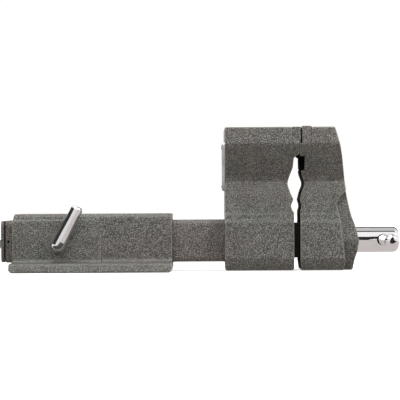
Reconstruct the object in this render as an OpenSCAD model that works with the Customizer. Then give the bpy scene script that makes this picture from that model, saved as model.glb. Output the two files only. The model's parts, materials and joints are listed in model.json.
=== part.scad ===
/* [Base] */
// Length of the base flange along the beam
flange_len = 192.6; // [190:0.2:200]
// Width of the base flange across the beam
flange_w = 150; // [148:1:170]
// Thickness of the base flange at its edge
flange_t = 11; // [9:0.5:12]
// Width of the sleeve casting that holds the beam
sleeve_w = 78; // [76:1:84]
// Top of the sleeve above the bench
sleeve_top = 69.2; // [68:0.2:74]
// How far the clamp boss stands out of the sleeve's side
boss_proud = 4; // [3:0.5:5]
// Distance between bolt holes along the beam
bolt_dx = 156; // [150:1:164]
// Distance between bolt holes across the beam
bolt_dy = 120; // [112:1:124]
// Radius of each bolt hole
bolt_r = 5.5; // [4.5:0.25:6.5]

/* [Beam] */
// Outside size of the square beam, made for a 2 inch receiver
beam_side = 50.8; // [50.8:0.1:50.8]
// Wall thickness of the square beam
beam_wall = 4; // [3.5:0.1:4.2]
// Height of the beam's axis above the bench
axis_z = 36.2; // [36:0.1:37]
// Rear end of the beam
beam_x0 = -103.5; // [-104:0.5:-102]

/* [Jaws] */
// Width of the jaw plates, 5 inches
jaw_w = 127; // [120:1:130]
// Height of the jaws' top above the bench
jaw_top = 170.8; // [169:0.2:173]
// Height of the jaws' underside above the bench
jaw_bottom = 0.6; // [0.4:0.1:2]
// Height of each jaw plate
plate_h = 19.4; // [18:0.1:20]
// Half width of the castings around the beam
body_half = 43; // [42:0.5:45]
// Back face of the rear jaw
rear_x = 159; // [156:0.5:160]
// Plane where the two jaw plates meet
grip_x = 249.2; // [249:0.1:249.4]

/* [Screw] */
// Outside diameter of the screw's thread
screw_d = 24; // [22:0.5:24]
// Diameter of the screw's chrome head
head_d = 31; // [30:0.5:31]
// Diameter of the tommy bar
bar_d = 13; // [12:0.5:13]

/* [Hidden] */
$fn = 72;

eps = 0.5;          // how far a cutting tool runs past the face that it opens
gap = 0.3;          // space between bodies that move past each other
run = 0.06;         // radial clearance of a shaft in its bore
paint = [0.40, 0.40, 0.38];
chrome = [0.83, 0.83, 0.85];
black = [0.10, 0.10, 0.10];

// Sleeve and clamp
sleeve_x0 = -94;
sleeve_x1 = flange_len / 2 - 0.3;
sleeve_bore = beam_side + 1;
sleeve_edge = 6;            // rounding of the sleeve's top edges
boss_x1 = 11.4;
boss_z0 = 10.6;
boss_z1 = 61.7;
clamp_x = -39;
clamp_z = 32;
clamp_r = 7;
elbow_r = 8.6;
clamp_lean = 27.8;          // lean of the lever from upright, towards the jaws
clamp_reach = 52;           // from the clamp's axis to the lever's tip
clamp_tip = 4;              // length of the chamfer at the lever's tip
clamp_out = 0.8;            // space between the boss and the elbow

// Beam and the slide inside it
beam_x1 = 240;
beam_corner = 6;
beam_inner = beam_side - 2 * beam_wall;
slide_side = beam_inner - 0.8;
slide_wall = 5;
slide_x0 = 62;
slide_x1 = 262;
slide_corner = 2.5;
beam_floor = axis_z - beam_inner / 2;

// End of the beam
cap_x0 = -109.3;
cap_t = 3.9;
cap_side = 50;
cap_head_t = 6;
cap_bolt_r = 5;
pin_x = -100.2;
pin_y0 = 7;
pin_y1 = beam_side / 2 - 1.2;

// Castings of the jaws
body_face = 241.4;          // rear casting's face towards the slide's gap
front_face = 248.5;         // front casting's face towards the slide's gap
seam_x = 247.35;            // where the castings close under the plates
plate_z0 = jaw_top - plate_h;
rear_seat = 238.7;
front_seat = 261.3;
front_grip = grip_x + gap;
plate_lift = 1;             // the front plate stands a little above its casting
relief_x = 253.8;           // depth of the relief above the pipe jaws
relief_y = 18;              // where it starts, either side of the middle
relief_z0 = 120;
relief_z1 = 136;
badge_t = 2.8;
badge_w = 60;
badge_z0 = 96;
badge_z1 = 154;
screw_y = 38;               // plate screws, either side of the middle
plate_screw_r = 3;
plate_head_r = 5;
plate_head_t = 6;
plate_screw_len = 26;

// Screw line
journal_r = 11;
washer_x = 310;
washer_t = 2;
head_x0 = washer_x + washer_t + gap;
head_x1 = 369.5;
bar_x = 349.5;
screw_x0 = 46;
thread_x1 = 243;
spring_x0 = 247;
nut_x0 = 170;
nut_x1 = 202;
nut_half = slide_side / 2 - slide_wall - 0.6;
nut_bolt_r = 4;
near_knob_y = -120;
knob_r = 8.5;
knob_len = 13;
far_knob_y = head_d / 2 + gap + knob_len / 2;

// ---- shapes that repeat ----
module rod_x(x0, x1, r, z = axis_z)
    translate([x0, 0, z]) rotate([0, 90, 0]) cylinder(h = x1 - x0, r = r);

module rod_y(x, y0, y1, r, z = axis_z)
    translate([x, y1, z]) rotate([90, 0, 0]) cylinder(h = y1 - y0, r = r);

// A bar along the beam's axis with rounded long edges
module square_bar(x0, x1, side, r) {
    translate([x0, -side / 2 + r, axis_z - side / 2]) cube([x1 - x0, side - 2 * r, side]);
    translate([x0, -side / 2, axis_z - side / 2 + r]) cube([x1 - x0, side, side - 2 * r]);
    for (y = [-1, 1], z = [-1, 1])
        translate([0, y * (side / 2 - r), 0]) rod_x(x0, x1, r, axis_z + z * (side / 2 - r));
}

// A side view, drawn as [x, z] points, given a width
module side_view(points, width)
    rotate([90, 0, 0]) linear_extrude(width, center = true) polygon(points);

// An end view, drawn as [y, z] points on the +Y half and mirrored, run along the beam
module end_view(half, x0, x1)
    translate([x0, 0, 0]) rotate([90, 0, 90]) linear_extrude(x1 - x0)
        polygon(concat(half, [for (i = [len(half) - 1:-1:0]) [-half[i][0], half[i][1]]]));

// A socket head screw along +X, its head at x, with a hexagon socket
module socket_screw_x(x, y, z, r, head_r, head_t, length)
    translate([x, y, z]) rotate([0, 90, 0]) difference() {
        union() {
            cylinder(h = head_t, r = head_r);
            cylinder(h = length, r = r);
        }
        translate([0, 0, -eps]) cylinder(h = head_t * 0.6 + eps, r = r * 0.95, $fn = 6);
    }

// ---- base ----
module base_outline() {
    h = flange_w / 2;
    s = sleeve_w / 2;
    z = sleeve_top;
    e = sleeve_edge;
    edge = [for (a = [0:15:90]) [s - e + e * cos(a), z - e + e * sin(a)]];
    end_view(concat([[h - 1, 0], [h, 1], [h - 2.4, flange_t - 2], [h - 4.4, flange_t],
        [s + 4, flange_t + 0.6], [s + 1.2, flange_t + 2], [s, flange_t + 4.5]], edge),
        -flange_len / 2, flange_len / 2);
}

// A boss on the near side that fades into the sleeve at its top corner towards the jaws
module clamp_boss() hull()
    for (corner = [[sleeve_x0, boss_z0, 1], [sleeve_x0, boss_z1 - 1, 0.75],
        [boss_x1 - 1, boss_z0, 0.95], [boss_x1 - 1, boss_z1 - 1, 0.05]])
        translate([corner[0], -sleeve_w / 2 - corner[2] * boss_proud, corner[1]])
            cube([1, corner[2] * boss_proud + sleeve_edge, 1]);

// Slope where the boss meets the flange
module boss_foot() hull() {
    translate([sleeve_x0, -sleeve_w / 2 - boss_proud - 2.6, flange_t - 0.4])
        cube([boss_x1 - sleeve_x0, 4, 0.8]);
    translate([sleeve_x0, -sleeve_w / 2 - boss_proud + 0.2, flange_t + 2.8])
        cube([boss_x1 - sleeve_x0, 2, 0.6]);
}

module base_sleeve() color(paint) difference() {
    union() {
        intersection() {
            base_outline();
            // the sleeve is a little shorter than its flange, with its top corner taken off
            side_view([[-flange_len / 2, 3], [3 - flange_len / 2, 0], [flange_len / 2 - 3, 0],
                [flange_len / 2, 3], [sleeve_x1, flange_t + 4], [sleeve_x1, sleeve_top],
                [sleeve_x0 + 2, sleeve_top], [sleeve_x0, sleeve_top - 8],
                [sleeve_x0, flange_t], [-flange_len / 2, flange_t]], flange_w);
        }
        clamp_boss();
        boss_foot();
    }
    square_bar(-flange_len, flange_len, sleeve_bore, 3);
    for (x = [-1, 1], y = [-1, 1])
        translate([x * bolt_dx / 2, y * bolt_dy / 2, -eps])
            cylinder(h = flange_t + 2 * eps, r = bolt_r);
    rod_y(clamp_x, -sleeve_w, -sleeve_bore / 2 + eps, clamp_r + run, clamp_z);
}

// Its thread goes through the boss; the arm leaves a round elbow at the thread's outer end
module clamp_lever() color(chrome) {
    y_elbow = -sleeve_w / 2 - boss_proud - clamp_out - elbow_r;
    rod_y(clamp_x, y_elbow, -beam_side / 2 - gap, clamp_r, clamp_z);
    translate([clamp_x, y_elbow, clamp_z]) {
        sphere(r = elbow_r);
        rotate([0, clamp_lean, 0]) {
            cylinder(h = clamp_reach - clamp_tip, r1 = elbow_r - 0.3, r2 = clamp_r + 0.2);
            translate([0, 0, clamp_reach - clamp_tip])
                cylinder(h = clamp_tip, r1 = clamp_r + 0.2, r2 = clamp_r - 2.3);
        }
    }
}

// ---- beam ----
module beam_tube() color(paint) difference() {
    square_bar(beam_x0, beam_x1, beam_side, beam_corner);
    square_bar(beam_x0 - eps, beam_x1 + eps, beam_inner, 2);
    rod_y(pin_x, -beam_side, beam_side, 1.5 + run);
    for (x = nut_bolt_places()) translate([x, 0, jaw_bottom]) cylinder(h = axis_z / 2, r = nut_bolt_r + 0.2);
}

function nut_bolt_places() = [nut_x0 + 8, nut_x1 - 8];

// Half of a jaw casting seen from its end: body, waist and wide jaw
function jaw_half() = [
    [body_half - 7.5, jaw_bottom], [body_half - 3, jaw_bottom + 6.5], [body_half, jaw_bottom + 14],
    [body_half, 58.2], [body_half - 3, 61.6], [body_half - 3.2, 67.4], [body_half - 4.8, 68.8],
    [body_half - 5, 92], [body_half - 6.2, 98],
    [33.4, 105], [33, 107], [36, 113], [jaw_w / 2 - 2, plate_z0 - 4], [jaw_w / 2, plate_z0],
    [jaw_w / 2, jaw_top - 1], [jaw_w / 2 - 1, jaw_top]
];

module rear_jaw() color(paint) difference() {
    intersection() {
        side_view([[rear_x + 1.5, jaw_bottom], [body_face - 1.5, jaw_bottom], [body_face, jaw_bottom + 2],
            [body_face, 69.5], [239.2, 72.5], [238, 75.5], [238, 79], [240.4, 84.2], [240.4, 86.4],
            [237.3, 92.8], [234.2, 102], [234.2, 106], [236.8, 114.2], [239.9, 122.6], [240.8, 134.5],
            [seam_x - gap / 2, 139], [seam_x - gap / 2, plate_z0], [rear_seat, plate_z0],
            [rear_seat, jaw_top], [rear_x, jaw_top], [rear_x, jaw_bottom + 2]], jaw_w);
        end_view(jaw_half(), rear_x, grip_x);
    }
    square_bar(rear_x - eps, body_face + eps, beam_side, beam_corner);
    for (x = nut_bolt_places()) translate([x, 0, -eps]) {
        cylinder(h = axis_z / 2, r = nut_bolt_r + 0.2);
        cylinder(h = jaw_bottom + eps + 7, r = 7);
    }
    for (y = [-1, 1]) translate([0, y * screw_y, 0])
        rod_x(rear_seat - 20, grip_x, plate_screw_r + run, plate_z0 + plate_h / 2);
}

// A hardened jaw plate between two planes, with two counterbored screw holes
module jaw_plate(x0, x1, z0, z1, face) color(paint) difference() {
    translate([x0, -jaw_w / 2, z0]) cube([x1 - x0, jaw_w, z1 - z0]);
    for (y = [-1, 1]) translate([0, y * screw_y, 0]) {
        rod_x(x0 - eps, x1 + eps, plate_screw_r + 0.2, plate_z0 + plate_h / 2);
        if (face > 0) rod_x(x1 - plate_head_t - 0.6, x1 + eps, plate_head_r + 0.4, plate_z0 + plate_h / 2);
        else rod_x(x0 - eps, x0 + plate_head_t + 0.6, plate_head_r + 0.4, plate_z0 + plate_h / 2);
    }
}

module rear_jaw_plate() jaw_plate(rear_seat, grip_x, plate_z0, jaw_top, 1);

module rear_plate_screws() color(black) for (y = [-1, 1])
    mirror([1, 0, 0]) socket_screw_x(-grip_x + 0.6, y * screw_y, plate_z0 + plate_h / 2,
        plate_screw_r, plate_head_r, plate_head_t, plate_screw_len);

// A blank plate on the rear jaw's back
module badge_plate() color(chrome) difference() {
    translate([rear_x - badge_t, -badge_w / 2, badge_z0]) cube([badge_t, badge_w, badge_z1 - badge_z0]);
    badge_places() rod_x(rear_x - badge_t - eps, rear_x + eps, 1.55, 0);
}

module badge_rivets() color(chrome) badge_places() {
    rod_x(rear_x - badge_t, rear_x, 1.5, 0);
    rod_x(rear_x - badge_t - 0.8, rear_x - badge_t, 2.6, 0);
}

module badge_places() for (y = [-1, 1], z = [badge_z0 + 5, badge_z1 - 5])
    translate([0, y * (badge_w / 2 - 5), z]) children();

// The nut stands on the beam's floor inside the open side of the slide
module lead_nut() color([0.45, 0.44, 0.42]) difference() {
    translate([nut_x0, -nut_half, beam_floor])
        cube([nut_x1 - nut_x0, 2 * nut_half, axis_z + 14.2 - beam_floor]);
    rod_x(nut_x0 - eps, nut_x1 + eps, screw_d / 2 + run);
    for (x = nut_bolt_places()) translate([x, 0, beam_floor - eps]) cylinder(h = 8 + eps, r = nut_bolt_r);
}

module nut_bolts() color(black) for (x = nut_bolt_places()) translate([x, 0, jaw_bottom + 2]) {
    difference() {
        cylinder(h = 5, r = 6.5);
        translate([0, 0, -eps]) cylinder(h = 3 + eps, r = 3, $fn = 6);
    }
    translate([0, 0, 5]) cylinder(h = beam_floor - jaw_bottom, r = nut_bolt_r);
}

// The plug closes the beam's rear end and carries the cap
module end_plug() color(black) difference() {
    square_bar(cap_x0 + cap_t, beam_x0 + 20, beam_inner - 0.2, 2.2);
    rod_y(pin_x, -beam_side, beam_side, 1.5 + run);
    rod_x(cap_x0, beam_x0 + 20 + eps, cap_bolt_r);
}

// Two roll pins, one through each wall of the beam, either side of the cap's bolt
module plug_pins() color([0.2, 0.2, 0.2]) difference() {
    for (y = [-1, 1]) translate([0, y * (pin_y0 + pin_y1) / 2, 0])
        rod_y(pin_x, (pin_y0 - pin_y1) / 2, (pin_y1 - pin_y0) / 2, 1.5);
    rod_y(pin_x, -beam_side, beam_side, 0.8);
}

module end_cap() color(paint) difference() {
    square_bar(cap_x0, cap_x0 + cap_t, cap_side, 7);
    rod_x(cap_x0 - eps, cap_x0 + cap_t + eps, cap_bolt_r + 0.3);
}

module end_cap_bolt() color([0.5, 0.5, 0.5]) {
    rod_x(cap_x0 - 1.4, cap_x0, 10);
    translate([cap_x0 - 1.4 - cap_head_t, 0, axis_z]) rotate([0, 90, 0])
        cylinder(h = cap_head_t, r = 9.2, $fn = 6);
    rod_x(cap_x0, cap_x0 + 22, cap_bolt_r);
}

// ---- moving jaw ----
module front_block() intersection() {
    side_view([[249.8, jaw_bottom], [300.5, jaw_bottom], [302, 11], [296.5, 61], [291.5, 80], [296, 88],
        [303.7, 96], [301, 116.3], [298.1, 136.4], [295.1, 150.5], [290.1, 167.2], [289, jaw_top],
        [front_seat, jaw_top], [front_seat, plate_z0], [seam_x + gap / 2, plate_z0],
        [seam_x + gap / 2, 138.6], [248.6, 134.5], [248.8, 122.6], [250.4, 114.2], [253.2, 106],
        [253.2, 102], [250.2, 94], [248.3, 86.4], [248.3, 84.2], [249.9, 79], [249.9, 75.5],
        [248.5, 71.5], [front_face, 12]], jaw_w);
    end_view(jaw_half(), seam_x, head_x0);
}

// The nose that carries the screw, with a ridge along each side
module front_nose() intersection() {
    side_view([[280, jaw_bottom], [311, jaw_bottom], [312, jaw_bottom + 1], [314.4, 13.1], [317.2, 22],
        [319.2, 35.4], [318, 41], [314.4, 55.2], [310.5, 65], [308.1, 73.3], [306, 84.1],
        [303.7, 96], [280, 96]], jaw_w);
    end_view([[23, jaw_bottom], [26.5, jaw_bottom + 10], [33, 35.4], [30.5, 58], [29, 74],
        [27, 84], [27, 96]], 280, 320);
}

module front_jaw() color(paint) difference() {
    union() {
        front_block();
        front_nose();
    }
    // relief above the pipe jaws on each side
    for (y = [-relief_y - jaw_w, relief_y])
        translate([seam_x - eps, y, relief_z0])
            cube([relief_x - seam_x + eps, jaw_w, relief_z1 - relief_z0]);
    square_bar(front_face - eps, slide_x1, slide_side, slide_corner);
    rod_x(slide_x1 - eps, washer_x + eps, journal_r + run);
    rod_x(washer_x, head_x1, head_d / 2 + gap + 0.2);
    for (y = [-1, 1]) translate([0, y * screw_y, 0])
        rod_x(grip_x, front_seat + 20, plate_screw_r + run, plate_z0 + plate_h / 2);
}

module front_jaw_plate() jaw_plate(front_grip, front_seat, plate_z0, jaw_top + plate_lift, -1);

module front_plate_screws() color(black) for (y = [-1, 1])
    socket_screw_x(front_grip + 0.6, y * screw_y, plate_z0 + plate_h / 2,
        plate_screw_r, plate_head_r, plate_head_t, plate_screw_len);

// A channel open below, so that it passes over the nut
module slide_channel() color([0.16, 0.15, 0.15]) difference() {
    square_bar(slide_x0, slide_x1, slide_side, slide_corner);
    translate([slide_x0 - eps, slide_wall - slide_side / 2, axis_z - slide_side])
        cube([slide_x1 - slide_x0 + 2 * eps, slide_side - 2 * slide_wall, 1.5 * slide_side - slide_wall - 1]);
}

module thrust_washer() color([0.6, 0.5, 0.3]) difference() {
    rod_x(washer_x, washer_x + washer_t, head_d / 2);
    rod_x(washer_x - eps, washer_x + washer_t + eps, journal_r + gap);
}

// ---- screw ----
module lead_screw() color(chrome) difference() {
    union() {
        rod_x(screw_x0 + 2, thread_x1, screw_d / 2);
        translate([screw_x0, 0, axis_z]) rotate([0, 90, 0])
            cylinder(h = 2, r1 = screw_d / 2 - 2, r2 = screw_d / 2);
        rod_x(thread_x1, head_x0, journal_r);
        translate([0, 0, axis_z]) rotate([0, 90, 0]) rotate_extrude()
            polygon(concat([[0, head_x0], [head_d / 2, head_x0]],
                [for (a = [0:15:90]) [head_d / 2 - 8 + 8 * cos(a), head_x1 - 8 + 8 * sin(a)]],
                [[0, head_x1]]));
    }
    rod_y(bar_x, -head_d, head_d, bar_d / 2 + run);
    rod_y(thread_x1 - 3, -head_d, head_d, 2.5 + run);
}

// Plain ring for the coil spring that keeps the jaw against the screw's head
module return_spring() color([0.35, 0.35, 0.36]) difference() {
    rod_x(spring_x0, slide_x1 - gap, journal_r + 3.2);
    rod_x(spring_x0 - eps, slide_x1, journal_r + 0.4);
}

module spring_washer() color([0.5, 0.5, 0.5]) difference() {
    rod_x(spring_x0 - 1.5, spring_x0, journal_r + 3.4);
    rod_x(spring_x0 - 2, spring_x0 + eps, journal_r + 0.2);
}

module retaining_pin() color([0.4, 0.4, 0.4])
    rod_y(thread_x1 - 3, -14, 14, 2.5);

// ---- tommy bar ----
module handle_bar() color(chrome)
    rod_y(bar_x, near_knob_y, far_knob_y, bar_d / 2);

// A turned knob on the end of the bar; side is -1 near, 1 far
module knob(y, side) color(chrome) translate([bar_x, y, axis_z]) rotate([-90 * side, 0, 0])
    rotate_extrude() difference() {
        polygon(concat([[0, -knob_len / 2], [knob_r - 1, -knob_len / 2], [knob_r, 1 - knob_len / 2]],
            [for (a = [0:15:90]) [knob_r - 5 + 5 * cos(a), knob_len / 2 - 5 + 5 * sin(a)]],
            [[0, knob_len / 2]]));
        translate([-1, -knob_len / 2 - eps]) square([1 + bar_d / 2, knob_len / 2 + eps]);
    }

module handle_knob_near() knob(near_knob_y, -1);
module handle_knob_far() knob(far_knob_y, 1);

base_sleeve();
clamp_lever();
beam_tube();
rear_jaw();
rear_jaw_plate();
rear_plate_screws();
badge_plate();
badge_rivets();
lead_nut();
nut_bolts();
end_plug();
plug_pins();
end_cap();
end_cap_bolt();
front_jaw();
front_jaw_plate();
front_plate_screws();
slide_channel();
thrust_washer();
lead_screw();
return_spring();
spring_washer();
retaining_pin();
handle_bar();
handle_knob_near();
handle_knob_far();
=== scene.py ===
"""Looks of the sliding beam vise. Everything is in metres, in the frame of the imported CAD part."""
import json
import math

import bmesh
import bpy
from mathutils import Matrix, Vector


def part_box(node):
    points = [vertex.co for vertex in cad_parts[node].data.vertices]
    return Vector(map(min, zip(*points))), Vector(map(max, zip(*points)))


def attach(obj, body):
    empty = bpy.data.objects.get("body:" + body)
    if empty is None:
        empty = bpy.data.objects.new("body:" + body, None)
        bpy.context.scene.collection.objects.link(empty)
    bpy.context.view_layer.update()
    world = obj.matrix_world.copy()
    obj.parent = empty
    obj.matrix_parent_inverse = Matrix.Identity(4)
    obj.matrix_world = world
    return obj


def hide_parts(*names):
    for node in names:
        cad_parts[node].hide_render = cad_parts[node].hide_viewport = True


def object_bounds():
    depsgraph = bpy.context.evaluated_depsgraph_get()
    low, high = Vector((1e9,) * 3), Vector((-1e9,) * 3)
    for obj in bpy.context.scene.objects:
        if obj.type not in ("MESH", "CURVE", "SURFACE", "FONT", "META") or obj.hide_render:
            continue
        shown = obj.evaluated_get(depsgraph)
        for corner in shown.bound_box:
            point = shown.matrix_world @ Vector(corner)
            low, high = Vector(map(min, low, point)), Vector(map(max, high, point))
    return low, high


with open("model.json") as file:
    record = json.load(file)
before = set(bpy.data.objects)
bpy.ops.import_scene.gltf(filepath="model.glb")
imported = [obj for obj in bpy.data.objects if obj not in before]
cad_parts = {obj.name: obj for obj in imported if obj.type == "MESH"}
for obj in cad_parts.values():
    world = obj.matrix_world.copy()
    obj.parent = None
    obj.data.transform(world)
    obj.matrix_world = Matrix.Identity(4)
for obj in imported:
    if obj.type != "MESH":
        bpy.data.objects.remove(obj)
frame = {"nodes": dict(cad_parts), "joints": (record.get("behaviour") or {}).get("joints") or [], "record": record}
cad_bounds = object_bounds()

MM = 0.001
NODES = frame["nodes"]
JOINTS = {joint["name"]: joint for joint in frame["joints"]}
X, Y, Z = Vector((1, 0, 0)), Vector((0, 1, 0)), Vector((0, 0, 1))

# ---------------------------------------------------------------- places taken from the frame

axis_z = JOINTS["screw_turn"]["pos_m"][2]            # height of the beam's and the screw's axis
clamp_x, _, clamp_z = JOINTS["clamp_turn"]["pos_m"]  # axis of the clamp screw
pin_lo, pin_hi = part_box("plug_pins")
pin_x = (pin_lo.x + pin_hi.x) / 2
bar_lo, bar_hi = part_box("handle_bar")
bar_x = (bar_lo.x + bar_hi.x) / 2
bar_r = (bar_hi.z - bar_lo.z) / 2


# ---------------------------------------------------------------- nodes and materials

class Tree:
    """A short way to write a material's node tree."""

    def __init__(self, name):
        self.material = bpy.data.materials.new(name)
        self.material.use_nodes = True
        self.nodes = self.material.node_tree.nodes
        self.links = self.material.node_tree.links
        self.shader = self.nodes["Principled BSDF"]

    def add(self, kind, settings=(), **inputs):
        node = self.nodes.new("ShaderNode" + kind)
        for key, value in dict(settings).items():
            setattr(node, key, value)
        for key, value in inputs.items():
            self.put(node.inputs[key.replace("_", " ")], value)
        return node

    def put(self, socket, value):
        if isinstance(value, bpy.types.NodeSocket):
            self.links.new(value, socket)
        else:
            socket.default_value = value

    def set(self, **inputs):
        for key, value in inputs.items():
            self.put(self.shader.inputs[key.replace("_", " ")], value)

    def place(self):
        """Coordinates fixed to the piece, in metres."""
        return self.add("TexCoord").outputs["Object"]

    def noise(self, scale, detail=2.0, roughness=0.5):
        node = self.add("TexNoise", Scale=scale, Detail=detail, Roughness=roughness)
        self.put(node.inputs["Vector"], self.place())
        return node.outputs["Fac"]

    def range(self, fac, low, high, from_low=0.0, from_high=1.0):
        node = self.add("MapRange")
        values = {"From Min": from_low, "From Max": from_high, "To Min": low, "To Max": high}
        for key, value in values.items():
            node.inputs[key].default_value = value
        self.links.new(fac, node.inputs["Value"])
        return node.outputs["Result"]

    def mix(self, fac, a, b):
        node = self.add("Mix", {"data_type": "RGBA"})
        self.put(node.inputs["Factor"], fac)
        for socket, value in ((node.inputs[6], a), (node.inputs[7], b)):
            self.put(socket, value if isinstance(value, bpy.types.NodeSocket) else (*value, 1))
        return node.outputs[2]

    def calc(self, operation, a, b):
        node = self.add("Math", {"operation": operation})
        self.put(node.inputs[0], a)
        self.put(node.inputs[1], b)
        return node.outputs[0]

    def scaled(self, colour, factor):
        node = self.add("VectorMath", {"operation": "SCALE"})
        self.links.new(colour, node.inputs[0])
        self.put(node.inputs["Scale"], factor)
        return node.outputs[0]

    def bump(self, height, strength, distance):
        node = self.add("Bump", Strength=strength, Distance=distance)
        self.links.new(height, node.inputs["Height"])
        return node.outputs["Normal"]

    def edge_highlight(self, spread):
        """1 on convex edges and 0 elsewhere: the mask of a painted highlight along the edges."""
        pointy = self.add("NewGeometry").outputs["Pointiness"]
        return self.range(pointy, 0.0, 1.0, 0.5 + spread, 0.5 + 2.5 * spread)


def hammertone(name, green, brown, light=None):
    """Hammered enamel: fine bright flecks on darker paint, with slow changes of hue.

    With a light colour, convex edges get a painted highlight in that colour; that needs a dense mesh."""
    t = Tree(name)
    # one rounded fleck to each cell, and each cell of its own brightness
    cells = t.add("TexVoronoi", {"feature": "F1"}, Scale=700.0, Randomness=0.9)
    t.put(cells.inputs["Vector"], t.place())
    each = t.add("SeparateColor")
    t.links.new(cells.outputs["Color"], each.inputs["Color"])
    brightness = t.range(t.calc("POWER", each.outputs["Red"], 0.8), 0.25, 1.0)
    fleck = t.calc("MULTIPLY", brightness, t.range(cells.outputs["Distance"], 1.3, 0.0, 0.08, 0.62))
    grain = t.range(t.noise(1500.0, 2.0, 0.6), 0.0, 1.0, 0.30, 0.70)
    height = t.mix(0.30, fleck, grain)
    patches = t.range(t.noise(19.0, 3.0, 0.6), 0.0, 1.0, 0.36, 0.64)
    clouds = t.range(t.noise(60.0, 3.0, 0.6), 0.88, 1.12, 0.3, 0.7)
    body = t.scaled(t.mix(patches, green, brown), clouds)
    tone = t.scaled(body, t.range(height, 0.34, 3.2, 0.10, 0.95))
    if light:
        # convex edges are painted lighter: a painted highlight where the light catches them
        tone = t.mix(t.range(t.edge_highlight(0.02), 0.0, 0.7), tone, light)
    t.set(Base_Color=tone, Metallic=0.1, Roughness=t.range(grain, 0.25, 0.37),
          Normal=t.bump(height, 1.0, 0.0005), IOR=1.5)
    return t.material


def plated(name, colour, rough):
    """Bright plate: a mirror with faint polishing lines and a little haze."""
    t = Tree(name)
    haze = t.noise(60.0, 4.0, 0.6)
    lines = t.noise(2600.0, 2.0, 0.5)
    tone = t.mix(t.range(haze, 0.0, 1.0, 0.4, 0.7), colour, [c * 0.93 for c in colour])
    t.set(Base_Color=tone, Metallic=1.0, Roughness=t.range(haze, rough, rough * 2.2, 0.35, 0.75),
          Normal=t.bump(lines, 0.015, 0.00004))
    return t.material


def bare_metal(name, colour, rough, scale=500.0, metallic=1.0):
    """Machined or blackened steel with an oily, uneven sheen."""
    t = Tree(name)
    stain = t.noise(90.0, 4.0, 0.6)
    fine = t.noise(scale, 3.0, 0.6)
    tone = t.mix(t.range(stain, 0.0, 1.0, 0.35, 0.7), colour, [c * 0.6 for c in colour])
    t.set(Base_Color=tone, Metallic=metallic, Roughness=t.range(fine, rough, rough * 1.5, 0.3, 0.7),
          Normal=t.bump(fine, 0.08, 0.0001))
    return t.material


def matt(name, colour, rough, shine):
    """Moulded plastic, or a flat black used as painted shade."""
    t = Tree(name)
    fine = t.noise(700.0, 2.0, 0.6)
    tone = t.mix(t.range(fine, 0.0, 1.0, 0.3, 0.7), colour, [c * 1.5 for c in colour])
    t.set(Base_Color=tone, Roughness=t.range(fine, rough, rough * 1.2), Specular_IOR_Level=shine,
          Normal=t.bump(fine, 0.12, 0.0001))
    return t.material


# the third colour is the painted highlight on convex edges
GREENISH, BROWNISH, EDGE_HIGHLIGHT_GREY = (0.086, 0.088, 0.080), (0.090, 0.081, 0.076), (0.24, 0.24, 0.22)
MATERIALS = {
    "paint": hammertone("hammertone_grey", GREENISH, BROWNISH),
    # hammertone with a painted highlight along its convex edges
    "paint_edge_highlit": hammertone("hammertone_grey_edge_highlight", GREENISH, BROWNISH, EDGE_HIGHLIGHT_GREY),
    "paint_beam": hammertone("hammertone_beam", (0.092, 0.084, 0.080), (0.094, 0.081, 0.077)),
    "chrome": plated("chrome_plate", (0.86, 0.86, 0.88), 0.03),
    "black_steel": bare_metal("black_oxide", (0.030, 0.030, 0.032), 0.42, metallic=0.6),
    "badge": bare_metal("brushed_plate", (0.60, 0.60, 0.60), 0.28, 1500.0),
    "bare_iron": bare_metal("machined_iron", (0.30, 0.29, 0.28), 0.34),
    "black_plastic": matt("black_plastic", (0.012, 0.012, 0.012), 0.55, 0.5),
    # a flat black used as painted shade between the jaws
    "painted_shade_black": matt("painted_shade_black", (0.008, 0.008, 0.008), 0.8, 0.1),
    "zinc": bare_metal("zinc_plate", (0.55, 0.56, 0.58), 0.25),
    "oiled_steel": bare_metal("oiled_steel", (0.022, 0.020, 0.019), 0.40, metallic=0.5),
    "bronze": bare_metal("bronze", (0.50, 0.33, 0.16), 0.3),
    "spring_steel": bare_metal("spring_steel", (0.30, 0.30, 0.32), 0.25),
}
SLOT_OF = {part["node"]: part["material_slot"] for part in frame["record"]["subparts"]}
BODIES = frame["record"]["behaviour"]["bodies"]
BODY_OF = {node: body for body, nodes in BODIES.items() for node in nodes}


# ---------------------------------------------------------------- mesh tools

def finished(name, mesh, node, smooth_angle=35, extra=(), coat=None):
    """Puts a mesh in the scene in place of a CAD node, on that node's body and in its finish."""
    ob = bpy.data.objects.new(name, mesh)
    bpy.context.scene.collection.objects.link(ob)
    mesh.materials.clear()
    for slot in (coat or SLOT_OF[node], *extra):
        mesh.materials.append(MATERIALS[slot])
    mesh.polygons.foreach_set("use_smooth", [True] * len(mesh.polygons))
    mesh.set_sharp_from_angle(angle=math.radians(smooth_angle))
    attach(ob, BODY_OF[node])
    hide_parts(node)
    return ob


def applied(mesh, *modifiers):
    """The mesh after a list of (type, settings) modifiers."""
    ob = bpy.data.objects.new("work", mesh)
    bpy.context.scene.collection.objects.link(ob)
    for kind, settings in modifiers:
        modifier = ob.modifiers.new(kind.lower(), kind)
        for key, value in settings.items():
            setattr(modifier, key, value)
    graph = bpy.context.evaluated_depsgraph_get()
    result = bpy.data.meshes.new_from_object(ob.evaluated_get(graph))
    bpy.data.objects.remove(ob)
    return result


def combined(mesh, operation, *tools):
    """The mesh after a boolean with each tool mesh in turn."""
    for tool in tools:
        other = bpy.data.objects.new("tool", tool)
        bpy.context.scene.collection.objects.link(other)
        settings = {"operation": operation, "object": other, "solver": "EXACT"}
        mesh = applied(mesh, ("BOOLEAN", settings))
        bpy.data.objects.remove(other)
    return mesh


def cut(mesh, *tools):
    return combined(mesh, "DIFFERENCE", *tools)


def joined(*meshes):
    """Several closed shells in one mesh, for shells that don't touch."""
    bm = bmesh.new()
    for mesh in meshes:
        bm.from_mesh(mesh)
    return from_bmesh(bm)


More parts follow.
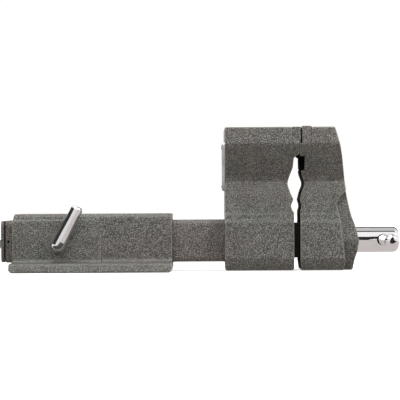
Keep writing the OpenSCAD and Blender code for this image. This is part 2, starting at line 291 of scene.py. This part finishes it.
def bevelled(mesh, width, segments=2):
    """The mesh with its sharp edges eased, and the edges of its curves left alone."""
    settings = {"width": width, "segments": segments, "limit_method": "ANGLE",
                "angle_limit": math.radians(50), "use_clamp_overlap": False}
    return applied(mesh, ("BEVEL", settings))


def from_bmesh(bm):
    """A clean mesh, with its faces outwards, from a bmesh that isn't needed again."""
    bmesh.ops.remove_doubles(bm, verts=bm.verts, dist=1e-7)
    bmesh.ops.recalc_face_normals(bm, faces=bm.faces)
    mesh = bpy.data.meshes.new("mesh")
    bm.to_mesh(mesh)
    bm.free()
    return mesh


def neighbours(rows, closed):
    """Each row with the next, and the last with the first where they close on themselves."""
    return list(zip(rows, rows[1:])) + ([(rows[-1], rows[0])] if closed else [])


def spokes(axis, count):
    """Directions square to an axis, evenly spaced round it."""
    side = axis.orthogonal().normalized()
    other = axis.cross(side)
    angles = [2 * math.pi * i / count for i in range(count)]
    return [side * math.cos(a) + other * math.sin(a) for a in angles]


def loft(rings, closed=False):
    """Skins rings of points, all of one length, and caps the ends; a closed loft joins last to first."""
    bm = bmesh.new()
    rows = [[bm.verts.new(point) for point in ring] for ring in rings]
    for low, high in neighbours(rows, closed):
        for i in range(len(low)):
            j = (i + 1) % len(low)
            bm.faces.new((low[i], low[j], high[j], high[i]))
    if not closed:
        bm.faces.new(rows[0])
        bm.faces.new(rows[-1])
    return from_bmesh(bm)


def turned(profile, axis, at, segments=96, hollow=False):
    """A lathe shape from a profile of (distance along axis, radius) pairs.

    A hollow one's profile is a closed outline."""
    bm = bmesh.new()
    spoke = spokes(axis, segments)
    rings = []
    for d, r in profile:
        centre = Vector(at) + axis * d
        points = [centre] if r < 1e-7 else [centre + out * r for out in spoke]
        rings.append([bm.verts.new(point) for point in points])
    for low, high in neighbours(rings, hollow):
        for i in range(segments):
            around = ((low, i), (low, i + 1), (high, i + 1), (high, i))
            corners = [ring[k % len(ring)] for ring, k in around]
            bm.faces.new(list(dict.fromkeys(corners)))
    for ring in () if hollow else (rings[0], rings[-1]):
        if len(ring) > 1:
            bm.faces.new(ring)
    return from_bmesh(bm)


def drill(radius, reach, axis, at, segments=24):
    """A round cutter that reaches as far to either side of `at`."""
    return turned([(-reach, radius), (reach, radius)], axis, at, segments)


def washer(start, end, bore, radius, axis, at, ease=0.3 * MM):
    """A flat ring with its outer edges eased."""
    outline = [(start, bore), (start, radius - ease), (start + ease, radius), (end - ease, radius),
               (end, radius - ease), (end, bore)]
    return turned(outline, axis, at, hollow=True)


def arc(centre, radius, start, end, steps):
    """Points (along, out) on a rounded edge; angles are in degrees from the radial direction."""
    turn = [math.radians(start + (end - start) * i / steps) for i in range(steps + 1)]
    return [(centre[0] + radius * math.sin(a), centre[1] + radius * math.cos(a)) for a in turn]


def rounded(corners, steps=6):
    """A flat outline from (u, v, radius) corners."""
    outline = []
    for i, (u, v, radius) in enumerate(corners):
        here = Vector((u, v))
        back = (Vector(corners[i - 1][:2]) - here).normalized()
        on = (Vector(corners[(i + 1) % len(corners)][:2]) - here).normalized()
        half = back.angle(on) / 2
        centre = here + (back + on).normalized() * radius / math.sin(half)
        first = here + back * radius / math.tan(half) - centre
        last = here + on * radius / math.tan(half) - centre
        sweep = first.angle_signed(last)
        for k in range(steps + 1):
            turn = Matrix.Rotation(-sweep * k / steps, 2)
            outline.append(tuple(centre + turn @ first))
    return outline


def square(half, corner, half_high=None, steps=6):
    """A rectangle's outline with rounded corners, square unless half its height is given."""
    high = half_high or half
    corners = ((half, high), (-half, high), (-half, -high), (half, -high))
    return rounded([(u, v, corner) for u, v in corners], steps)


def station(outline, x, z=None):
    """An end-view outline of (y, z) points stood at x, about the beam's axis unless z is given."""
    return [Vector((x, u, v + (axis_z if z is None else z))) for u, v in outline]


def bar_along_x(outer, x0, x1, inner=None):
    """A bar or tube of one section between two planes."""
    rings = [station(outer, x0), station(outer, x1)]
    if inner:
        rings += [station(inner, x1), station(inner, x0)]
    return loft(rings, closed=bool(inner))


def circle(radius, like):
    """A round outline with a point for each point of another outline, at the same bearings."""
    return [(radius * u / math.hypot(u, v), radius * v / math.hypot(u, v)) for u, v in like]


def threaded(start, end, radius, depth, pitch, axis, at, segments=48):
    """A right-hand trapezoidal thread cut on a rod, as one closed solid."""
    spoke = spokes(axis, segments)
    core = radius - depth
    form = ((0.0, core), (0.34, core), (0.46, radius), (0.88, radius))  # (part of a pitch, radius)
    bm = bmesh.new()
    made = {}

    def vertex(column, row):
        row += len(form) * (column // segments)
        column %= segments
        turn, step = divmod(row, len(form))
        d = start + (turn - 1 + form[step][0] + column / segments) * pitch
        key, r = ((column, row), form[step][1])
        if d <= start:
            key, d, r = (column, "start"), start, core
        elif d >= end:
            key, d, r = (column, "end"), end, core
        if key not in made:
            made[key] = bm.verts.new(Vector(at) + axis * d + spoke[column] * r)
        return made[key]

    rows = len(form) * (int((end - start) / pitch) + 3)
    for row in range(-len(form), rows):
        for column in range(segments):
            corners = [vertex(column, row), vertex(column + 1, row), vertex(column + 1, row + 1),
                       vertex(column, row + 1)]
            corners = list(dict.fromkeys(corners))
            if len(corners) > 2:
                bm.faces.new(corners)
    for end_name in ("start", "end"):
        bm.faces.new([made[(column, end_name)] for column in range(segments)])
    return from_bmesh(bm)


def coil(start, end, radius, wire, turns, axis, at, steps=28, sides=12):
    """A compression spring with closed ends."""
    spoke = spokes(axis, steps)
    rings = []
    for i in range(int(turns * steps) + 1):
        share = min(max((i / steps - 0.75) / (turns - 1.5), 0.0), 1.0)
        along = start + wire + (end - start - 2 * wire) * share
        out = spoke[i % steps]
        centre = Vector(at) + axis * along + out * radius
        rings.append([centre + (out * math.cos(b) + axis * math.sin(b)) * wire
                      for b in [2 * math.pi * k / sides for k in range(sides)]])
    return loft(rings)


def socket_screw(at, axis, head_r, head_t, shank_r, length, socket_r):
    """A socket head screw with its head's face at `at`, pointing along axis."""
    ease = 0.4 * MM
    profile = [(0, 0), (0, head_r - ease), (ease, head_r), (head_t - 0.2 * MM, head_r),
               (head_t, head_r - 0.2 * MM), (head_t, shank_r), (length - shank_r / 2, shank_r),
               (length, shank_r / 2), (length, 0)]
    socket = [(-MM, 0), (-MM, socket_r), (head_t * 0.6, socket_r), (head_t * 0.75, 0)]
    return cut(turned(profile, axis, at, 48), turned(socket, axis, at, 6))


VOXEL = 0.9 * MM


def casting(node):
    """A CAD casting as sand leaves it, with every edge and corner rounded over."""
    return applied(
        NODES[node].data.copy(),
        ("WELD", {"merge_threshold": 1e-5}),
        ("REMESH", {"mode": "VOXEL", "voxel_size": VOXEL}),
        ("SMOOTH", {"factor": 0.5, "iterations": 2}),
    )


# ---------------------------------------------------------------- castings

BOLT_X, BOLT_Y = 78 * MM, 60 * MM  # the base's bolt holes, from its middle
SHADE_Z = (0.0026, 0.139)  # heights between which the jaws' facing sides are painted black as shade
SHADE_X = {"rear_jaw": (0.2330, 0.2425), "front_jaw": (0.2470, 0.2550)}  # where those sides lie
RELIEF_X, RELIEF_Z = 0.2539, (0.1195, 0.1365)  # the relief above the front pipe jaw, whose faces are painted black as shade
PIPE_TEETH = {  # the toothed part of each pipe jaw, as (x, z) in mm from the bottom up
    "rear_jaw": ((240.3, 86.4), (237.3, 92.8), (234.2, 102.0),
                 (234.2, 106.0), (236.8, 114.2), (239.9, 122.6)),
    "front_jaw": ((248.4, 86.4), (250.2, 94.0), (253.2, 102.0),
                  (253.2, 106.0), (250.4, 114.2), (248.8, 122.6)),
}


def grooves(points, out, pitch=2.7 * MM, depth=0.7 * MM, reach=50 * MM):
    """V-shaped cutters across the jaw along a line of (x, z) points; out is the open side, -1 or 1."""
    prisms = []
    for a, b in zip(points, points[1:]):
        start, end = Vector(a) * MM, Vector(b) * MM
        along = (end - start).normalized()
        normal = Vector((along.y, -along.x)) * out
        count = max(1, round((end - start).length / pitch))
        for i in range(count):
            foot = start.lerp(end, (i + 0.5) / count)
            half_width, rise = along * 0.95 * MM, normal * 0.4 * MM
            corners = (foot - half_width + rise, foot + half_width + rise, foot - normal * depth)
            prisms.append(loft([[Vector((c.x, y, c.y)) for c in corners] for y in (-reach, reach)]))
    return joined(*prisms)


def base():
    """The base casting, with its bolt holes drilled and their edges eased."""
    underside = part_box("base_sleeve")[0].z
    flange_top, bore, mouth = 11 * MM, 5.6 * MM, 6.9 * MM
    profile = [(-MM, 6.3 * MM), (0.4 * MM, bore), (flange_top - 0.7 * MM, bore),
               (flange_top + 0.3 * MM, mouth), (flange_top + 2 * MM, mouth)]
    holes = joined(*[turned(profile, Z, (x * BOLT_X, y * BOLT_Y, underside), 48)
                     for x in (-1, 1) for y in (-1, 1)])
    # the base's hammertone has a painted highlight on its convex edges
    finished("base_casting", cut(casting("base_sleeve"), holes), "base_sleeve", 50, coat="paint_edge_highlit")


def jaw(node, out):
    """One jaw casting with its pipe jaw's teeth cut, and its facing side, and the front jaw's relief, painted
    black as the shade between the jaws.
    """
    mesh = cut(casting(node), grooves(PIPE_TEETH[node], out))
    # the jaw's hammertone has a painted highlight on its convex edges
    ob = finished(node + "_casting", mesh, node, 50, extra=("painted_shade_black",), coat="paint_edge_highlit")
    # faces towards the gap, and the relief's faces, get the black of painted shade
    near, far = SHADE_X[node]
    for face in ob.data.polygons:
        x, _, z = face.center
        towards_gap = abs(face.normal.y) < 0.3 and face.normal.x * out > 0.05
        inside = near < x < far and SHADE_Z[0] < z < SHADE_Z[1]
        relief = out < 0 and x < RELIEF_X and RELIEF_Z[0] < z < RELIEF_Z[1]
        if relief or inside and towards_gap:
            face.material_index = 1


base()
jaw("rear_jaw", 1)
jaw("front_jaw", -1)


# ---------------------------------------------------------------- jaw plates

PLATE_HOLE_Y, PLATE_HOLE_Z = 38 * MM, 161.1 * MM


def jaw_plate(name, node, out):
    """A plate with a field of diamond teeth on its gripping face, and two counterbored holes."""
    lo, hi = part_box(node)
    face, back = (hi.x, lo.x) if out > 0 else (lo.x, hi.x)
    half, low, high = hi.y, lo.z, hi.z
    columns, rows, depth, rim = 64, 10, 0.7 * MM, 1.2 * MM
    bm = bmesh.new()

    def point(i, j):
        edge = i in (0, columns) or j in (0, rows)
        peak = (i + j) % 2 and not edge
        y = -half + rim + (2 * half - 2 * rim) * i / columns
        z = low + rim + (high - low - 2 * rim) * j / rows
        return Vector((face - out * (0 if peak else depth), y, z))

    field = [[bm.verts.new(point(i, j)) for j in range(rows + 1)] for i in range(columns + 1)]
    for i in range(columns):
        for j in range(rows):
            a, b, c, d = field[i][j], field[i + 1][j], field[i + 1][j + 1], field[i][j + 1]
            for corners in ((a, b, c), (a, c, d)) if (i + j) % 2 == 0 else ((a, b, d), (b, c, d)):
                bm.faces.new(corners).material_index = 1
    border = ([field[i][0] for i in range(columns)]
              + [field[columns][j] for j in range(rows)]
              + [field[i][rows] for i in range(columns, 0, -1)]
              + [field[0][j] for j in range(rows, 0, -1)])
    centre_z = (low + high) / 2
    ease = 0.5 * MM
    ring = border
    for inset, x in ((ease, face - out * depth), (0, face - out * (depth + ease)),
                     (0, back + out * ease), (ease, back)):
        stretch_y = (half - inset) / (half - rim)
        stretch_z = ((high - low) / 2 - inset) / ((high - low) / 2 - rim)
        wider = [bm.verts.new((x, v.co.y * stretch_y, centre_z + (v.co.z - centre_z) * stretch_z))
                 for v in border]
        for i in range(len(ring)):
            k = (i + 1) % len(ring)
            bm.faces.new((ring[i], ring[k], wider[k], wider[i]))
        ring = wider
    bm.faces.new(ring)
    counterbore = [(-MM, 5.9 * MM), (0.2 * MM, 5.9 * MM), (0.9 * MM, 5.4 * MM), (6.6 * MM, 5.4 * MM),
                   (6.6 * MM, 3.2 * MM), (16 * MM, 3.2 * MM)]
    holes = joined(*[turned(counterbore, -X * out, (face, y * PLATE_HOLE_Y, PLATE_HOLE_Z), 40)
                     for y in (-1, 1)])
    finished(name, cut(from_bmesh(bm), holes), node, 30, extra=("bare_iron",))


def plate_screws(name, node, out):
    lo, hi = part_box(node)
    x = hi.x if out > 0 else lo.x
    z = (lo.z + hi.z) / 2
    screws = [socket_screw((x, y * PLATE_HOLE_Y, z), -X * out, head_r=5 * MM, head_t=6 * MM,
                           shank_r=3 * MM, length=hi.x - lo.x, socket_r=2.85 * MM)
              for y in (-1, 1)]
    finished(name, joined(*screws), node, 30)


jaw_plate("rear_plate", "rear_jaw_plate", 1)
jaw_plate("front_plate", "front_jaw_plate", -1)
plate_screws("rear_socket_screws", "rear_plate_screws", 1)
plate_screws("front_socket_screws", "front_plate_screws", -1)


# ---------------------------------------------------------------- badge on the rear jaw's back

def badge():
    """A blank plate with a raised rim, and a rivet in each corner."""
    lo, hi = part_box("badge_plate")
    half_y, half_z = hi.y, (hi.z - lo.z) / 2
    middle = (hi.z + lo.z) / 2
    sunk = lo.x + 0.6 * MM
    rings = []
    ease = 0.5 * MM
    for x, inset in ((hi.x, 0), (lo.x + ease, 0), (lo.x, ease), (lo.x, 2.4 * MM), (sunk, 3 * MM)):
        outline = square(half_y - inset, 3.4 * MM - inset, half_z - inset)
        rings.append(station(outline, x, middle))
    finished("badge_blank", loft(rings), "badge_plate", 40)

    lo_r, hi_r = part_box("badge_rivets")
    seat, tall, rivet_r = hi.x - sunk, hi_r.x - lo_r.x, 2.6 * MM
    dome = [(seat + (tall - seat) * math.sin(math.radians(a)), rivet_r * math.cos(math.radians(a)))
            for a in range(0, 90, 15)]
    profile = [(0, 0), (0, 1.5 * MM), (seat, 1.5 * MM), *dome, (tall, 0)]
    finished("badge_dome_rivets", joined(*[
        turned(profile, -X, (hi.x, y, z), 32)
        for y in (lo_r.y + rivet_r, hi_r.y - rivet_r)
        for z in (lo_r.z + rivet_r, hi_r.z - rivet_r)
    ]), "badge_rivets", 40)


badge()


# ---------------------------------------------------------------- beam, slide and what is inside them

PIN_BORE = 1.56 * MM  # radius of the roll pins' bores
BOLT_HEAD = 6.5 * MM  # radius of the nut's bolts' heads


def beam():
    """The tube, the slide inside it, and the nut with its bolts."""
    lo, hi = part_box("beam_tube")
    half, wall = hi.y, 4 * MM
    outer, inner = square(half, 6 * MM, steps=8), square(half - wall, 2 * MM, steps=8)
    tube = bevelled(bar_along_x(outer, lo.x, hi.x, inner), 0.5 * MM)
    bolts_lo, bolts_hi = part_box("nut_bolts")
    bolts_x = (bolts_lo.x + BOLT_HEAD, bolts_hi.x - BOLT_HEAD)
    holes = [drill(4.2 * MM, 20 * MM, Z, (x, 0, lo.z), 40) for x in bolts_x]
    holes.append(drill(PIN_BORE, half * 1.1, Y, (pin_x, 0, axis_z)))
    finished("beam", cut(tube, joined(*holes)), "beam_tube", 40)

    lo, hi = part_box("slide_channel")
    half, wall, roof = hi.y, 5 * MM, 6 * MM
    section = rounded([(half, half, 2.5 * MM), (-half, half, 2.5 * MM), (-half, -half, MM),
                       (wall - half, -half, MM), (wall - half, half - roof, 2 * MM),
                       (half - wall, half - roof, 2 * MM), (half - wall, -half, MM),
                       (half, -half, MM)])
    finished("slide", bevelled(bar_along_x(section, lo.x, hi.x), 0.5 * MM), "slide_channel", 40)

    lo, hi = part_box("lead_nut")
    top, bottom = hi.z - axis_z, lo.z - axis_z
    corners = ((hi.y, top), (-hi.y, top), (-hi.y, bottom), (hi.y, bottom))
    block = rounded([(y, z, MM) for y, z in corners], 10)
    nut = bevelled(bar_along_x(block, lo.x, hi.x, circle(12.06 * MM, block)), 0.6 * MM)
    taps = [turned([(-MM, 4.01 * MM), (8 * MM, 4.01 * MM), (9 * MM, 0)], Z, (x, 0, lo.z), 32)
            for x in (lo.x + 8 * MM, hi.x - 8 * MM)]
    finished("nut_block", cut(nut, *taps), "lead_nut", 35)

    bolts = [socket_screw((x, 0, bolts_lo.z), Z, head_r=BOLT_HEAD, head_t=5 * MM, shank_r=4 * MM,
                          length=bolts_hi.z - bolts_lo.z, socket_r=3 * MM)
             for x in bolts_x]
    finished("nut_socket_bolts", joined(*bolts), "nut_bolts", 30)


def beam_end():
    """The plug, its pins, the cap and the cap's bolt."""
    lo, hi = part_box("end_plug")
    section = square(hi.y, 2.2 * MM)
    plug = bar_along_x(section, lo.x, hi.x, circle(5 * MM, section))
    hole = drill(PIN_BORE, hi.y * 1.1, Y, (pin_x, 0, axis_z))
    finished("end_plug_block", cut(bevelled(plug, 0.6 * MM), hole), "end_plug", 35)

    pins = [washer(7 * MM, pin_hi.y, 0.8 * MM, 1.5 * MM, Y * side, (pin_x, 0, axis_z))
            for side in (-1, 1)]
    finished("roll_pins", joined(*pins), "plug_pins", 35)

    lo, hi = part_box("end_cap")
    section = square(hi.y, 7 * MM, steps=8)
    cap = bar_along_x(section, lo.x, hi.x, circle(5.3 * MM, section))
    finished("cap_plate", bevelled(cap, 0.9 * MM, 3), "end_cap", 35)

    at = (lo.x, 0, axis_z)
    collar, corner_r, tall = 1.4 * MM, 9.2 * MM, 6 * MM
    top = collar + tall
    hexagon = turned([(collar * 0.9, 0), (collar * 0.9, corner_r), (top, corner_r), (top, 0)], -X, at, 6)
    crown = turned([(0, 0), (0, corner_r * 1.2), (collar + tall * 0.72, corner_r * 1.03),
                    (top, corner_r * 0.84), (top, 0)], -X, at, 72)
    head = combined(hexagon, "INTERSECT", crown)
    tail = lo.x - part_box("end_cap_bolt")[1].x
    shank = turned([(tail, 0), (tail, 4.2 * MM), (tail + MM, 5 * MM), (0, 5 * MM), (0, 9.7 * MM),
                    (0.3 * MM, 10 * MM), (collar - 0.3 * MM, 10 * MM), (collar, 9.7 * MM),
                    (collar, 0)], -X, at, 64)
    finished("cap_hex_bolt", combined(head, "UNION", shank), "end_cap_bolt", 30)


beam()
beam_end()


# ---------------------------------------------------------------- clamp lever

def clamp_lever():
    """A rod bent at its elbow: thread through the boss, arm up and over towards the jaws."""
    lo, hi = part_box("clamp_lever")
    rod_r, tip_r = 7 * MM, 7.2 * MM
    elbow_r = 8.6 * MM
    lean = math.radians(27.8)
    reach = 52 * MM
    elbow = Vector((clamp_x, lo.y + elbow_r, clamp_z))
    up = Vector((math.sin(lean), 0, math.cos(lean)))
    ball = arc((0, 0), elbow_r, -84, 0, 14)
    taper = 38 * MM
    neck = [(taper * i / 12, tip_r + (elbow_r - tip_r) * (1 + math.cos(math.pi * i / 12)) / 2)
            for i in range(1, 13)]
    rounding = ((4.2, 0), (3.2, 0.12), (2.2, 0.5), (1.3, 1.1), (0.6, 1.8), (0.15, 2.6), (0, 3.4))
    tip = [(reach - back * MM, tip_r - inset * MM) for back, inset in rounding]
    arm = [(-elbow_r, 0), *ball, *neck, *tip, (reach, 0)]
    length = hi.y - elbow.y
    screw = threaded(elbow_r + MM, length, rod_r, 1.1 * MM, 2 * MM, Y, elbow)
    shank = turned([(0, 0), (0, rod_r * 0.95), (elbow_r + 2 * MM, rod_r * 0.95),
                    (elbow_r + 3 * MM, rod_r - 1.3 * MM), (elbow_r + 3 * MM, 0)], Y, elbow, 64)
    mesh = combined(turned(arm, up, elbow, 80), "UNION", shank, screw)
    finished("clamp_bent_bar", mesh, "clamp_lever", 35)


clamp_lever()


# ---------------------------------------------------------------- screw, washers, spring and tommy bar

def screw_line():
    """The lead screw with its head, and the ring, washer, spring and pin on it."""
    at = (0, 0, axis_z)
    lo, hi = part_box("lead_screw")
    washer_lo, washer_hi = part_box("thrust_washer")
    spring_lo, spring_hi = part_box("return_spring")
    ring_lo, ring_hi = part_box("spring_washer")
    cross_lo, cross_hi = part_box("retaining_pin")
    cross_at = ((cross_lo.x + cross_hi.x) / 2, 0, axis_z)
    head_r = hi.z - axis_z
    head_x, thread_end, journal_r = washer_hi.x + 0.3 * MM, 243 * MM, 11 * MM
    dome = 8 * MM
    thread = threaded(lo.x, thread_end, 12 * MM, 2.4 * MM, 6 * MM, X, at, 64)
    head = [(thread_end - 8 * MM, 0), (thread_end - 8 * MM, 9 * MM), (thread_end - 6 * MM, journal_r),
            (head_x - 1.5 * MM, journal_r), (head_x, journal_r - 0.4 * MM), (head_x, head_r - 0.6 * MM),
            (head_x + 0.6 * MM, head_r), (hi.x - dome - 6 * MM, head_r),
            *arc((hi.x - dome, head_r - dome), dome, 0, 84, 12), (hi.x, head_r * 0.35), (hi.x, 0)]
    bore, mouth = bar_r + 0.06 * MM, bar_r + 2.6 * MM
    cross = turned([(-head_r * 1.2, mouth), (-head_r * 0.86, bore), (head_r * 0.86, bore),
                    (head_r * 1.2, mouth)], Y, (bar_x, 0, axis_z), 72)
    pin_bore = drill(2.56 * MM, 20 * MM, Y, cross_at, 32)
    mesh = cut(combined(thread, "UNION", turned(head, X, at, 96)), cross, pin_bore)
    finished("screw_and_head", mesh, "lead_screw", 35)

    ring = washer(washer_lo.x, washer_hi.x, 11.3 * MM, washer_hi.y, X, at)
    finished("thrust_ring", ring, "thrust_washer", 35)
    ring = washer(ring_lo.x, ring_hi.x, 11.2 * MM, ring_hi.y, X, at, 0.2 * MM)
    finished("spring_ring", ring, "spring_washer", 35)
    spring = coil(spring_lo.x, spring_hi.x, 12.8 * MM, 1.3 * MM, 4.75, X, at)
    finished("coil_spring", spring, "return_spring", 60)
    half, r = cross_hi.y, 2.5 * MM
    pin = [(-half, 0), (-half, r * 0.7), (0.7 * MM - half, r), (half - 0.7 * MM, r), (half, r * 0.7),
           (half, 0)]
    finished("cross_pin", turned(pin, Y, cross_at, 40), "retaining_pin", 35)


def tommy_bar():
    """The rod through the screw's head, and a knob on each end."""
    length = bar_hi.y - bar_lo.y
    thin, ease = bar_r - 0.8 * MM, 0.8 * MM
    profile = [(0, 0), (0, thin), (ease, bar_r), (length - ease, bar_r), (length, thin), (length, 0)]
    finished("tommy_rod", turned(profile, Y, (bar_x, bar_lo.y, axis_z), 72), "handle_bar", 35)
    for name, node, axis in (("near_knob", "handle_knob_near", -Y), ("far_knob", "handle_knob_far", Y)):
        lo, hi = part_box(node)
        start = hi.y if axis.y < 0 else lo.y
        long, knob_r, nose = hi.y - lo.y, hi.z - axis_z, 5 * MM
        bore = bar_r + 0.05 * MM
        profile = [(long / 2, 0), (long / 2, bore), (0, bore), (0, knob_r - MM),
                   *arc((MM, knob_r - MM), MM, -90, 0, 4)[1:], (long - nose - MM, knob_r),
                   *arc((long - nose, knob_r - nose), nose, 0, 80, 10), (long, knob_r * 0.3), (long, 0)]
        finished(name, turned(profile, axis, (bar_x, start, axis_z), 72), node, 35)


screw_line()
tommy_bar()


# ---------------------------------------------------------------- studio

WHITE, GREY, BLACK = 0.80, 0.62, 0.0
LAMPS = (  # name, place, diameter, watts, colour
    ("overhead", (0.0, -0.35, 1.7), 0.8, 17.5, (0.95, 1.0, 0.97)),
    ("front_softbox", (-0.2, -1.5, 1.15), 1.0, 8.3, (0.98, 1.0, 0.98)),
    ("right_softbox", (1.3, -0.9, 0.9), 0.5, 11.0, (1.0, 1.0, 0.99)),
)
CARDS = (  # what the plating reflects: name, middle, width, height, facing, brightness; all in metres
    ("room_behind_camera", (0.56, -0.60, 0.165), 0.40, 0.33, Y, BLACK),
    ("window_behind_camera", (0.57, -0.59, 0.15), 0.24, 0.20, Y, 1.0),
    ("gap_between_lamps", (0.66, -0.20, 1.0), 0.56, 0.20, Z, BLACK),
    ("ceiling", (0.66, 0.41, 1.0), 0.56, 1.02, Z, GREY),
    ("dark_behind", (0.75, 1.0, 0.75), 1.0, 0.9, Y, BLACK),
    ("dark_left", (-1.25, 0.25, 0.65), 3.4, 0.6, X, BLACK),
    ("reflector_left", (-0.54, -1.50, 0.40), 1.48, 0.8, Y, WHITE),
    # a black sheet seen only in the plating: a painted shadow of the vise on the floor in front of it
    ("painted_floor_shadow", (-0.30, -0.62, 0.001), 0.66, 1.1, Z, BLACK),
)


def stage_plane(name, material, centre, width, height, facing):
    """A card facing along one of the axes; its width runs along X, or along Y where it faces X."""
    across, up = (Y if facing == X else X), (Y if facing == Z else Z)
    corners = [Vector(centre) + across * width * a / 2 + up * height * b / 2
               for a, b in ((-1, -1), (1, -1), (1, 1), (-1, 1))]
    mesh = bpy.data.meshes.new(name)
    mesh.from_pydata(corners, [], [(0, 1, 2, 3)])
    mesh.materials.append(material)
    ob = bpy.data.objects.new(name, mesh)
    bpy.context.scene.collection.objects.link(ob)
    return ob


def card_material(name, colour, glow):
    t = Tree(name)
    t.set(Base_Color=t.mix(t.noise(5.0), colour, [c * 0.97 for c in colour]), Roughness=0.9,
          Emission_Color=(1.0, 0.975, 0.965, 1), Emission_Strength=glow)
    return t.material


def floor_plane(name, surface, colour, glow, depth):
    """A floor that lies a little below the object, by a depth of its own."""
    centre = (0, 0, cad_bounds[0][2] - 0.3 * MM - depth)
    return stage_plane(name, card_material(surface, colour, glow), centre, 16, 16, Z)


def studio():
    """A pale floor, three soft lamps, a bright surround, and the cards."""
    floor = floor_plane("floor", "floor_white", (0.88, 0.88, 0.88), 0.66, 0.0)
    floor.visible_diffuse = floor.visible_glossy = floor.visible_shadow = False
    # the floor as the paint and the plating see it, which is darker than the picture's
    bounce = floor_plane("floor_bounce", "floor_dim", (0.44, 0.40, 0.38), 0.0, MM)
    bounce.visible_glossy = bounce.visible_camera = False
    mirror = floor_plane("floor_in_plating", "floor_grey", (0.74, 0.71, 0.70), 0.30, 2 * MM)
    mirror.visible_diffuse = mirror.visible_camera = mirror.visible_shadow = False
    for name, centre, width, height, facing, glow in CARDS:
        material = card_material("card_" + name, (0.01, 0.01, 0.01), glow)
        card = stage_plane(name, material, centre, width, height, facing)
        card.visible_camera = card.visible_diffuse = card.visible_shadow = False

    world = bpy.data.worlds.new("studio")
    world.use_nodes = True
    surround = world.node_tree.nodes["Background"].inputs
    surround["Color"].default_value = (1.0, 0.975, 0.955, 1)
    surround["Strength"].default_value = 1.05
    bpy.context.scene.world = world
    bpy.context.scene.view_settings.view_transform = "Standard"

    middle = Vector((0.13, 0, 0.08))
    for name, place, size, watts, colour in LAMPS:
        light = bpy.data.lights.new(name, "AREA")
        light.shape = "DISK"
        light.size = size
        light.energy = watts
        light.color = colour
        ob = bpy.data.objects.new(name, light)
        ob.location = place
        ob.rotation_euler = (middle - ob.location).to_track_quat("-Z", "Y").to_euler()
        bpy.context.scene.collection.objects.link(ob)


def camera():
    """Straight from the side, level, a little above the beam, and rolled a third of a degree."""
    distance = 2.4
    view_width = 0.484
    data = bpy.data.cameras.new("camera")
    data.sensor_width = 36
    data.lens = data.sensor_width * distance / view_width
    data.clip_end = 50
    ob = bpy.data.objects.new("camera", data)
    level = Matrix.Rotation(math.radians(90), 4, "X")
    roll = Matrix.Rotation(math.radians(-0.3), 4, "Z")
    ob.matrix_world = Matrix.Translation((0.1294, -distance, 0.085)) @ level @ roll
    bpy.context.scene.collection.objects.link(ob)
    bpy.context.scene.camera = ob


studio()
camera()
